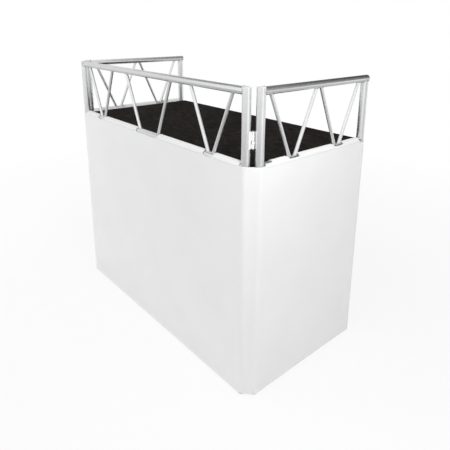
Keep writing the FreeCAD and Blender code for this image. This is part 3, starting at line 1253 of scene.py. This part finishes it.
    def relief(self, along: Array, up: Array) -> Array:
        """Hems, seams, sag and folds, as heights above the middle of the cloth.

        Args:
            along: Distances along the sheet.
            up: Distances up the sheet.

        Returns:
            The heights, outwards.
        """
        top = BOOTH.drop
        foot = ramp(up, self.hem, self.hem + self.hem_fade)
        head = ramp(up, *(top + gap for gap in self.rim_fade))
        rise = self.hem_rise * (1 - foot + head)
        for row in SCRIM.rows:
            rise -= self.seam_depth * bell(up - row, self.seam_width)
        inside = -self.from_flap(along)
        tail = top + self.wrap * BOOTH.scrim_r - up
        hemmed = self.hem_rise / 2 * (1 - ramp(np.minimum(inside, tail), *self.flap_hem))
        rise += np.where(up > top + self.rim, hemmed, 0.0)
        cut = band(inside, *self.tuck_sides)
        rise -= self.tuck * cut * ramp(up, *(top + gap for gap in self.tuck_rows))
        free = self.held(up, *self.bow_rows)
        for limits in self.bow_sides:
            free = free * ramp(self.from_post(along), *limits)
        rise -= self.bow * free
        return rise + self.local_relief(along, up)

    def surface(self, along: Array, up: Array) -> Array:
        """Points of the middle of the cloth.

        Args:
            along: Distances along the sheet.
            up: Distances up the sheet and on over the rail.

        Returns:
            The points.
        """
        gap = self.notch_gap(along)
        place = up
        if self.spans:
            outer, inner = self.notch_round
            corner = self.fillet * np.where(gap > 0, np.exp(-gap / outer), np.exp(gap / inner))
            sag = self.notch_sag * band(gap, *self.sag_sides)
            edge = BOOTH.drop + self.notch_turn * BOOTH.scrim_r
            under, over = self.notch_fade
            near = np.where(up > edge, 1 - ramp(up, edge, edge + over), ramp(up, edge - under, edge))
            place = up + (corner - sag) * near
        short = (gap > 0) & (up > BOOTH.drop)
        place = np.where(short, BOOTH.drop + (place - BOOTH.drop) * self.grown(along), place)
        anchor, outward = self.line(along)
        turn = np.clip((place - BOOTH.drop) / BOOTH.scrim_r, 0.0, None)
        reach = BOOTH.scrim_r + self.relief(along, up)
        height = np.where(turn > 0, BOOTH.mid_z + reach * np.sin(turn), BOOTH.hem_z + place)
        height += self.lift(along) * ramp(up, *(BOOTH.drop + gap for gap in self.lift_rows))
        return anchor + outward * (reach * np.cos(turn))[:, None] + np.outer(height, UP)

    def build(self) -> Piece:
        """Model the sheet from a flat grid, cut its notches and give it its thickness.

        Returns:
            The sheet.
        """
        columns, rows = self.stations(), self.heights()
        Bench.clear()
        cells = (len(columns) - 1, len(rows) - 1)
        bpy.ops.mesh.primitive_grid_add(x_subdivisions=cells[0], y_subdivisions=cells[1], size=1)
        piece = Bench.started(self.name)
        piece.data.transform(Matrix.Diagonal((*cells, 1, 1)) @ Matrix.Translation((0.5, 0.5, 0)))
        middles = np.array([face.center for face in piece.data.polygons])
        at = np.interp(middles[:, 0], np.arange(len(columns)), columns)
        up = np.interp(middles[:, 1], np.arange(len(rows)), rows)
        edge = BOOTH.drop + self.notch_turn * BOOTH.scrim_r * np.ceil(self.grown(at))
        Bench.edit(piece, (up > edge) & (self.from_flap(at) > 0))
        bpy.ops.mesh.delete(type="FACE")
        Bench.close()
        flat = np.round(Bench.points(piece)).astype(int)
        along, up = columns[flat[:, 0]], rows[flat[:, 1]]
        Bench.move(piece, self.surface(along, up))
        self.lay_map(piece, along, up)
        Bench.modify(piece, "SOLIDIFY", thickness=BOOTH.scrim_t, offset=0.0)
        Bench.tidy(piece, 1e-6)
        Bench.smooth(piece, self.sharp)
        self.dress(piece)
        return piece

    @staticmethod
    def lay_map(piece: Piece, along: Array, up: Array) -> None:
        """Lay the flat cut, in metres, on the sheet as its map.

        Args:
            piece: The piece.
            along: Distances along the sheet.
            up: Distances up the sheet.
        """
        corners = np.zeros(len(piece.data.loops), int)
        piece.data.loops.foreach_get("vertex_index", corners)
        flat = np.stack([along[corners], up[corners]], 1)
        layer = piece.data.uv_layers.active or piece.data.uv_layers.new(name="UVMap")
        layer.data.foreach_set("uv", flat.ravel())

    def dress(self, piece: Piece) -> None:
        """Give the sheet its cloth, hide the nodes it replaces and mount it.

        Args:
            piece: The piece.
        """
        SCRIM.dress(piece)
        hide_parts(*self.replaced)
        self.mount(piece)


@dataclass
class FrontScrim(ScrimSheet):
    """The scrim across the front frame."""

    name: str = "front_scrim_sheet"
    replaced: tuple[str, ...] = ("front_scrim", "front_scrim_flaps")
    start: float = -BOOTH.front_x
    end: float = BOOTH.front_x
    spans: tuple[Pair, ...] = ((-0.5745, -0.4385), (-0.3835, -0.083), (0.083, 0.3835), (0.4385, 0.5745))
    rests_on: tuple[str, ...] = ("front_mid_rail", "front_bottom_rail", "front_left_post", "front_right_post")
    fillet: float = 0.007
    wave_depth: float = 0.0006
    wave_rates: tuple[tuple[float, ...], ...] = ((9.3, 1.2), (5.1, 0.6), (0.6, 21.0, 7.0))
    wave_calm: float = 0.08
    post_gap: float = 0.0004
    creases: tuple[Pair, ...] = ((-0.073, -0.022), (0.066, -0.024))
    crease_depth: float = 0.0013
    crease_width: float = 0.0045
    crease_rows: Limits = ((0.24, 0.5), (0.06, 0.02))
    crease_columns: Triple = (-0.026, 0.027, 0.002)

    def line(self, along: Array) -> tuple[Array, Array]:
        """The front rails' line.

        Args:
            along: Distances along the sheet.

        Returns:
            The points, and the outward directions.
        """
        flat = np.zeros_like(along)
        anchor = np.stack([along, flat + BOOTH.front_y, flat], 1)
        return anchor, np.stack([flat, flat - 1, flat], 1)

    def notch_gap(self, along: Array) -> Array:
        """As on any sheet, but the outer flaps run on to the posts."""
        last = self.spans[-1][1]
        return self.from_flap(np.clip(along, -last, last)) - (np.abs(along) > last)

    def lift(self, along: Array) -> Array:
        """Raised in front of the posts."""
        return BOOTH.corner_rise * (np.abs(along) > self.spans[-1][1] + self.post_gap)

    def extra_stations(self) -> list[float]:
        """Columns close together at the creases."""
        gaps = np.arange(*self.crease_columns)
        return [place + lean / 2 + gap for place, lean in self.creases for gap in gaps]

    def local_relief(self, along: Array, up: Array) -> Array:
        """Two upright pulls below the wide notch, and faint waves.

        Args:
            along: Distances along the sheet.
            up: Distances up the sheet.

        Returns:
            The heights, outwards.
        """
        share = (BOOTH.drop - up) / BOOTH.drop
        held = self.held(up, *self.crease_rows)
        rise = self.waves(along, up)
        for place, lean in self.creases:
            away = (along - place - lean * share) / self.crease_width
            rise += self.crease_depth * held * away * bell(away, 1.0) * np.sign(-place)
        return rise

    def mount(self, piece: Piece) -> None:
        """Ride on the front frame."""
        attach(piece, "front_frame")


@dataclass
class WingScrim(ScrimSheet):
    """The scrim along one wing, turned round its rear post."""

    side: Side = Side.RIGHT
    rear_wrap: float = math.radians(190)
    notch_turn: float = math.radians(50)
    notch_share: float = 0.68
    wave_depth: float = 0.0005
    wave_rates: tuple[tuple[float, ...], ...] = ((12.0, 0.4), (6.3, 1.1), (0.5, 27.0, -8.0))
    wave_calm: float = 0.06
    puckers: tuple[float, ...] = (-0.225, -0.075, 0.12, 0.262)
    pucker_height: float = 0.0009
    pucker_size: Pair = (0.018, 0.022)
    pucker_drop: float = 0.05
    pucker_lean: float = 0.35
    pucker_end: float = 0.02
    lift_fall: Pair = (-0.005, 0.006)
    notch_rise: Pair = (-0.005, 0.001)
    post_columns: tuple[float, float, int] = (-0.005, 0.008, 10)
    rear_columns: Pair = (0.004, 0.01)
    turn_columns: int = 18

    @classmethod
    def on(cls, side: Side) -> "WingScrim":
        """The sheet of one side.

        Args:
            side: The wing's side.

        Returns:
            The sheet.
        """
        word = side.word
        nodes = (f"{word}_scrim", f"{word}_scrim_rear_turn", f"{word}_scrim_flaps")
        carriers = (f"{word}_wing_mid_rail", f"{word}_wing_bottom_rail", f"{word}_wing_rear_post")
        spans = ((-0.216984, -0.138484), (-0.083484, 0.115516), (0.170516, 0.275016))
        end = BOOTH.rear_y + cls.rear_wrap * BOOTH.scrim_r
        return cls(f"{word}_scrim_sheet", nodes, BOOTH.wing_front_y, end, spans, carriers, side=side)

    def line(self, along: Array) -> tuple[Array, Array]:
        """The wing rails' line, then the turn round the rear post.

        Args:
            along: Distances along the sheet.

        Returns:
            The points, and the outward directions.
        """
        turn = np.clip((along - BOOTH.rear_y) / BOOTH.scrim_r, 0.0, None)
        flat = np.zeros_like(along)
        sign = self.side.value
        anchor = np.stack([flat + sign * BOOTH.wing_x, np.minimum(along, BOOTH.rear_y), flat], 1)
        return anchor, np.stack([sign * np.cos(turn), np.sin(turn), flat], 1)

    def lift(self, along: Array) -> Array:
        """Raised in front of the front post."""
        return BOOTH.corner_rise * (1 - ramp(along, *(self.post_side + gap for gap in self.lift_fall)))

    @property
    def post_side(self) -> float:
        """Distance at which the cloth leaves the front post."""
        return BOOTH.wing_front_y + BOOTH.tube_r

    def grown(self, along: Array) -> Array:
        """As on any sheet, but the first notch runs on to the front post."""
        first = ramp(along, *(self.post_side + gap for gap in self.notch_rise))
        return np.where(along < self.spans[0][0], first, self.notch_share * super().grown(along))

    def extra_stations(self) -> list[float]:
        """Columns close together at the front post and round the rear post.

        Returns:
            The distances.
        """
        front = self.post_side + np.linspace(*self.post_columns)
        turn = np.linspace(BOOTH.rear_y, self.end, self.turn_columns, endpoint=False)
        return [*front, *turn, *(BOOTH.rear_y - gap for gap in self.rear_columns)]

    def local_relief(self, along: Array, up: Array) -> Array:
        """Faint puckers under the flaps, and soft waves.

        Args:
            along: Distances along the sheet.
            up: Distances up the sheet.

        Returns:
            The heights, outwards.
        """
        below = BOOTH.drop - up
        width, height = self.pucker_size
        under = self.pucker_height * bell(below - self.pucker_drop, height)
        rise = np.zeros_like(along)
        for place in self.puckers:
            rise += under * bell(along - place - below * self.pucker_lean, width)
        return rise * ramp(BOOTH.rear_y - along, 0.0, self.pucker_end) + self.waves(along, up)

    def relief(self, along: Array, up: Array) -> Array:
        """As on any sheet, but taut where it turns round the rear post."""
        return super().relief(np.minimum(along, BOOTH.rear_y), up)

    def from_post(self, along: Array) -> Array:
        """Distance to the nearer of the wing's two posts."""
        return np.minimum(along - self.start, BOOTH.rear_y - along)

    def mount(self, piece: Piece) -> None:
        """Ride on the wing."""
        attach(piece, self.side.wing)


@dataclass
class CornerScrim(ScrimSheet):
    """The scrim round a front corner, fixed in place; it does not bend as the wing swings."""

    side: Side = Side.RIGHT
    step: float = 0.0022
    bow: float = 0.0
    hollow: float = 0.0016
    hollow_sides: Pair = (0.012, 0.035)
    hollow_rows: Limits = ((0.03, 0.12), (0.12, 0.02))

    @classmethod
    def on(cls, side: Side) -> "CornerScrim":
        """The corner of one side.

        Args:
            side: The wing's side.

        Returns:
            The sheet.
        """
        word = side.word
        span = math.hypot(BOOTH.wing_x - BOOTH.front_x, BOOTH.wing_front_y - BOOTH.front_y)
        end = span + math.pi / 2 * BOOTH.scrim_r
        carriers = (f"front_{word}_post", f"{word}_wing_front_post")
        nodes = (f"{word}_scrim_corner",)
        return cls(f"{word}_scrim_corner_sheet", nodes, 0.0, end, (), carriers, side=side)

    def line(self, along: Array) -> tuple[Array, Array]:
        """Round the front post, straight across the hinge, and round the wing post.

        Args:
            along: Distances along the sheet.

        Returns:
            The points, and the outward directions.
        """
        arc = math.pi / 4 * BOOTH.scrim_r
        first = np.clip(along / BOOTH.scrim_r, 0.0, math.pi / 4)
        last = np.clip((along - (self.end - arc)) / BOOTH.scrim_r, 0.0, math.pi / 4)
        share = np.clip((along - arc) / (self.end - 2 * arc), 0.0, 1.0)
        turn = first + last - math.pi / 2
        sign = self.side.value
        x = BOOTH.front_x + share * (BOOTH.wing_x - BOOTH.front_x)
        y = BOOTH.front_y + share * (BOOTH.wing_front_y - BOOTH.front_y)
        flat = np.zeros_like(along)
        return np.stack([sign * x, y, flat], 1), np.stack([sign * np.cos(turn), np.sin(turn), flat], 1)

    def lift(self, along: Array) -> Array:
        """Raised all along."""
        return np.full_like(along, BOOTH.corner_rise)

    def local_relief(self, along: Array, up: Array) -> Array:
        """A shallow hollow between the two posts."""
        between = ramp(self.from_post(along), *self.hollow_sides)
        return -self.hollow * between * self.held(up, *self.hollow_rows)

    def mount(self, piece: Piece) -> None:
        """Bake its place into its mesh, mounted on neither the front frame nor the wing.

        Args:
            piece: The piece.
        """
        self.side.wing
        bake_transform(piece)


@dataclass
class Table:
    """The carpeted table that lies between the frames."""

    half_x: float = 0.601532
    front: float = -0.280516
    rear: float = 0.316016
    top: float = 0.891
    under: float = 0.865
    corner_cut: float = 0.018
    lip: float = 0.045
    carpet_t: float = 0.0036
    edge_round: float = 0.0045
    pile: float = 0.0011
    pile_scale: float = 0.006
    pile_depth: int = 3
    cell: float = 0.0056
    edge_rows: int = 5
    lip_rows: int = 6
    sharp: float = 70.0

    def build(self) -> Piece:
        """Dress the board, and lay carpet over its top and edges, turned under all round.

        Returns:
            The carpet.
        """
        BOARD.dress_nodes("table_board")
        width, depth = 2 * self.half_x, self.rear - self.front
        middle = Vector((0, (self.front + self.rear) / 2, self.top))
        Bench.clear()
        bpy.ops.mesh.primitive_grid_add(x_subdivisions=round(width / self.cell), size=1, location=middle,
                                        y_subdivisions=round(depth / self.cell))
        piece = Bench.started("table_carpet_cover")
        piece.scale = (width, depth, 1)
        Bench.settle(piece)
        Bench.edit(piece)
        for sign in (-1, 1):
            bpy.ops.mesh.select_all(action="SELECT")
            corner = (sign * (self.half_x - self.corner_cut / 2), self.front + self.corner_cut / 2, self.top)
            bpy.ops.mesh.bisect(plane_co=corner, plane_no=(sign, -1, 0), clear_outer=True, threshold=1e-6)
        self.turn_down(middle)
        Bench.close()
        Bench.tidy(piece)
        Bench.modify(piece, "SOLIDIFY", thickness=self.carpet_t, offset=-1.0)
        self.raise_pile(piece)
        Bench.smooth(piece, self.sharp)
        CARPET.dress(piece)
        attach(piece, "table")
        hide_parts("table_carpet")
        return piece

    def turn_down(self, middle: Vector) -> None:
        """Draw the open edge of the cover down the board's edge and in under it.

        Args:
            middle: Centre of the cover's top.
        """
        Bench.choose_edges()
        bpy.ops.mesh.select_all(action="SELECT")
        bpy.ops.mesh.region_to_loop()
        down = {"value": (0, 0, (self.under - self.top) / self.edge_rows)}
        for _ in range(self.edge_rows):
            bpy.ops.mesh.extrude_region_move(TRANSFORM_OT_translate=down)
        width, depth = 2 * self.half_x, self.rear - self.front
        share = self.lip / self.lip_rows * 2
        for _ in range(self.lip_rows):
            bpy.ops.mesh.extrude_region_move(TRANSFORM_OT_translate={"value": (0, 0, 0)})
            scale = ((width - share) / width, (depth - share) / depth, 1)
            bpy.ops.transform.resize(value=scale, center_override=middle)
            width, depth = width - share, depth - share

    def raise_pile(self, piece: Piece) -> None:
        """Round the board's edges and raise the pile a little unevenly.

        Args:
            piece: The piece.
        """
        points = Bench.points(piece)
        bend = self.edge_round
        for axis, low, high in ((0, -self.half_x, self.half_x), (1, self.front, self.rear)):
            for sign, side in ((-1, low), (1, high)):
                for level, end in ((1, self.top), (-1, self.under)):
                    out = np.clip(sign * (points[:, axis] - side) + bend, 0, None)
                    over = np.clip(level * (points[:, 2] - end) + bend, 0, None)
                    length = np.hypot(out, over)
                    outside = (out > 0) & (over > 0) & (length > bend)
                    pull = np.where(outside, bend / np.maximum(length, 1e-9), 1.0)
                    points[:, axis] -= sign * out * (1 - pull)
                    points[:, 2] -= level * over * (1 - pull)
        Bench.move(piece, points)
        cloud = bpy.data.textures.new("carpet pile", "CLOUDS")
        cloud.noise_scale = self.pile_scale
        cloud.noise_depth = self.pile_depth
        Bench.modify(piece, "DISPLACE", texture=cloud, texture_coords="LOCAL", strength=self.pile,
                     mid_level=1.0)


@dataclass
class Studio:
    """White floor, soft lamps and the camera at the picture's viewing angle."""

    camera_at: Triple = (1.6203, -1.2741, 1.3400)
    yaw: float = -0.8449
    pitch: float = 0.2729
    roll: float = 0.0103
    sensor: float = 36.0
    lens: float = 36.493
    shift: Pair = (-0.0159, -0.1658)
    sky: float = 0.703
    floor_tone: float = 0.88
    floor_rough: float = 0.9
    floor_radius: float = 14.0
    floor_sides: int = 96
    floor_white: tuple[float, ...] = (0.8, 1.0, 1.0, 3.2)
    # Each row holds what lamp() or card() is called with.
    lamps: tuple[tuple[str, Triple, Triple, Pair, float], ...] = (
        ("corner lamp", (1.50, -0.58, 1.62), (0.60, -0.22, 0.75), (0.45, 0.45), 8.6),
        ("left lamp", (-2.6, -2.2, 1.5), (0.0, -0.3, 0.5), (1.6, 1.6), 27),
        ("top lamp", (0.2, 0.4, 4.2), (0.0, 0.0, 0.8), (2.4, 2.4), 6),
    )
    cards: tuple[tuple[str, Triple, Pair, Triple, Triple, Pair], ...] = (
        ("rear card", (0.7, 2.6, 3.85), (7.4, 5.5), (90, 0, 0), (0.3, 2.6, 2.5), (0.0, 0.33)),
        ("left card", (-3.4, 0.6, 4.4), (5.0, 2.0), (90, 0, 90), (-3.4, 0.6, 4.4), (0.2, 0.2)),
        ("low left card", (-3.5, -0.4, 1.8), (6.4, 3.4), (90, 0, 90), (-3.5, -0.4, 1.8), (0.74, 0.74)),
        ("rear left card", (-3.2, 2.6, 0.9), (3.4, 1.8), (90, 0, 45), (-3.2, 2.6, 0.9), (0.45, 0.45)),
        ("right card", (1.3, -0.235, 0.83), (0.87, 0.66), (90, 0, 90), (1.3, -0.25, 1.02), (1.15, -2.0)),
        ("rear right card", (3.4, 2.4, 0.5), (5.4, 1.2), (90, 0, -60), (4.3, 0.8, 0.5), (0.46, 0.85)),
        ("floor card", (0, 0, 0.003), (14.0, 14.0), (0, 0, 0), (1.0, -1.0, 0.003), (0.345, 0.54)),
    )
    tone_reach: float = 3.0

    def build(self) -> None:
        """Set up the whole studio."""
        bpy.context.scene.view_settings.view_transform = "Standard"
        self.camera()
        self.world()
        self.floor()
        for lamp in self.lamps:
            self.lamp(*lamp)
        for card in self.cards:
            self.card(*card)

    def camera(self) -> None:
        """Place the camera, with its lens shifted and no depth of field."""
        cos_p, sin_p = math.cos(self.pitch), math.sin(self.pitch)
        ahead = Vector((cos_p * math.sin(self.yaw), cos_p * math.cos(self.yaw), -sin_p))
        right = Vector((math.cos(self.yaw), -math.sin(self.yaw), 0))
        up = right.cross(ahead)
        cos_r, sin_r = math.cos(self.roll), math.sin(self.roll)
        axes = (right * cos_r + up * sin_r, up * cos_r - right * sin_r, -ahead)
        data = bpy.data.cameras.new("picture camera")
        data.sensor_width = self.sensor
        data.lens = self.lens
        data.shift_x, data.shift_y = self.shift
        camera = bpy.data.objects.new("picture camera", data)
        turn = Matrix([[axis[row] for axis in axes] for row in range(3)]).to_4x4()
        camera.matrix_world = Matrix.Translation(self.camera_at) @ turn
        bpy.context.scene.collection.objects.link(camera)
        bpy.context.scene.camera = camera

    @staticmethod
    def seen(wire: Wiring) -> Socket:
        """1 for rays that are seen straight, in a mirror or through a clear piece, 0 for lighting rays.

        Args:
            wire: Wiring of the tree.

        Returns:
            The value's socket.
        """
        path = wire.add("LightPath")
        glossy = wire.math("MAXIMUM", path.outputs["Is Camera Ray"], path.outputs["Is Glossy Ray"])
        return wire.math("MAXIMUM", glossy, path.outputs["Is Transmission Ray"])

    def world(self) -> None:
        """White surroundings that light the booth softly."""
        world = bpy.data.worlds.new("studio")
        world.use_nodes = True
        bpy.context.scene.world = world
        wire = Wiring(world.node_tree)
        background = world.node_tree.nodes["Background"]
        background.inputs["Color"].default_value = (1, 1, 1, 1)
        strength = wire.span(self.seen(wire), self.sky, 1.0)
        world.node_tree.links.new(strength, background.inputs["Strength"])

    def floor(self) -> None:
        """A white floor that keeps the booth's shadow and fades into the white background."""
        Bench.clear()
        bpy.ops.mesh.primitive_circle_add(vertices=self.floor_sides, radius=self.floor_radius,
                                          fill_type="NGON")
        piece = Bench.started("studio_floor")
        material, wire = Wiring.material("studio floor")
        paint = material.node_tree.nodes["Principled BSDF"]
        paint.inputs["Base Color"].default_value = (*[self.floor_tone] * 3, 1)
        paint.inputs["Roughness"].default_value = self.floor_rough
        paint.inputs["Specular IOR Level"].default_value = 0.0
        white = wire.add("Emission", {"Color": (1, 1, 1, 1), "Strength": 1.0})
        far = wire.add("VectorMath", {0: wire.place()}, operation="LENGTH")
        fade = wire.span(far.outputs["Value"], *self.floor_white)
        wire.surface(wire.add("MixShader", {0: wire.math("MULTIPLY", self.seen(wire), fade),
                                            1: paint.outputs["BSDF"], 2: white.outputs["Emission"]}))
        piece.data.materials.append(material)

    @staticmethod
    def lamp(name: str, place: Triple, aim: Triple, size: Pair, power: float) -> None:
        """Hang a soft box.

        Args:
            name: The lamp's name.
            place: Where it hangs.
            aim: What it points at.
            size: Its width and height.
            power: Its power in watts.
        """
        data = bpy.data.lights.new(name, "AREA")
        data.shape = "RECTANGLE"
        data.size, data.size_y = size
        data.energy = power
        lamp = bpy.data.objects.new(name, data)
        lamp.location = place
        lamp.rotation_euler = (Vector(aim) - Vector(place)).to_track_quat("-Z", "Y").to_euler()
        lamp.visible_glossy = False
        bpy.context.scene.collection.objects.link(lamp)

    def card(self, name: str, place: Triple, size: Pair, turn: Triple, centre: Triple, tones: Pair) -> None:
        """Stand a grey card that only mirrors show.

        Args:
            name: The card's name.
            place: The card's middle.
            size: Its width and height.
            turn: How it is turned, in degrees.
            centre: Where its first tone lies.
            tones: How bright it looks there and tone_reach away, where 1 is white.
        """
        Bench.clear()
        angles = [math.radians(degrees) for degrees in turn]
        bpy.ops.mesh.primitive_plane_add(size=1, location=place, rotation=angles)
        piece = Bench.started(name.replace(" ", "_"))
        piece.scale = (*size, 1)
        Bench.settle(piece)
        material, wire = Wiring.material(name)
        away = wire.add("VectorMath", {0: wire.place(), 1: centre}, operation="DISTANCE")
        inputs = {"Value": away.outputs["Value"], "From Max": self.tone_reach, "To Min": tones[0],
                  "To Max": tones[1]}
        tone = wire.add("MapRange", inputs, clamp=False).outputs[0]
        wire.surface(wire.add("Emission", {"Color": (1, 1, 1, 1), "Strength": tone}))
        piece.data.materials.append(material)
        for ray in ("camera", "diffuse", "shadow", "transmission"):
            setattr(piece, f"visible_{ray}", False)


def report(pieces: Iterable[Piece]) -> None:
    """Log each new piece with its count of faces."""
    for piece in pieces:
        LOG.info("%s: %d faces", piece.name, len(piece.data.polygons))


def main() -> None:
    """Build and dress the sub-assemblies in order."""
    logging.basicConfig(level=logging.INFO, format="%(message)s")
    Studio().build()
    report(TrussPanel.front().build())
    for side in Side:
        report(TrussPanel.wing(side).build() + HingePair(side).build())
    report([FrontScrim().build()])
    for side in Side:
        report([WingScrim.on(side).build(), CornerScrim.on(side).build()])
    report([Table().build()])
    Bench.clear()


if __name__ == "__main__":
    main()
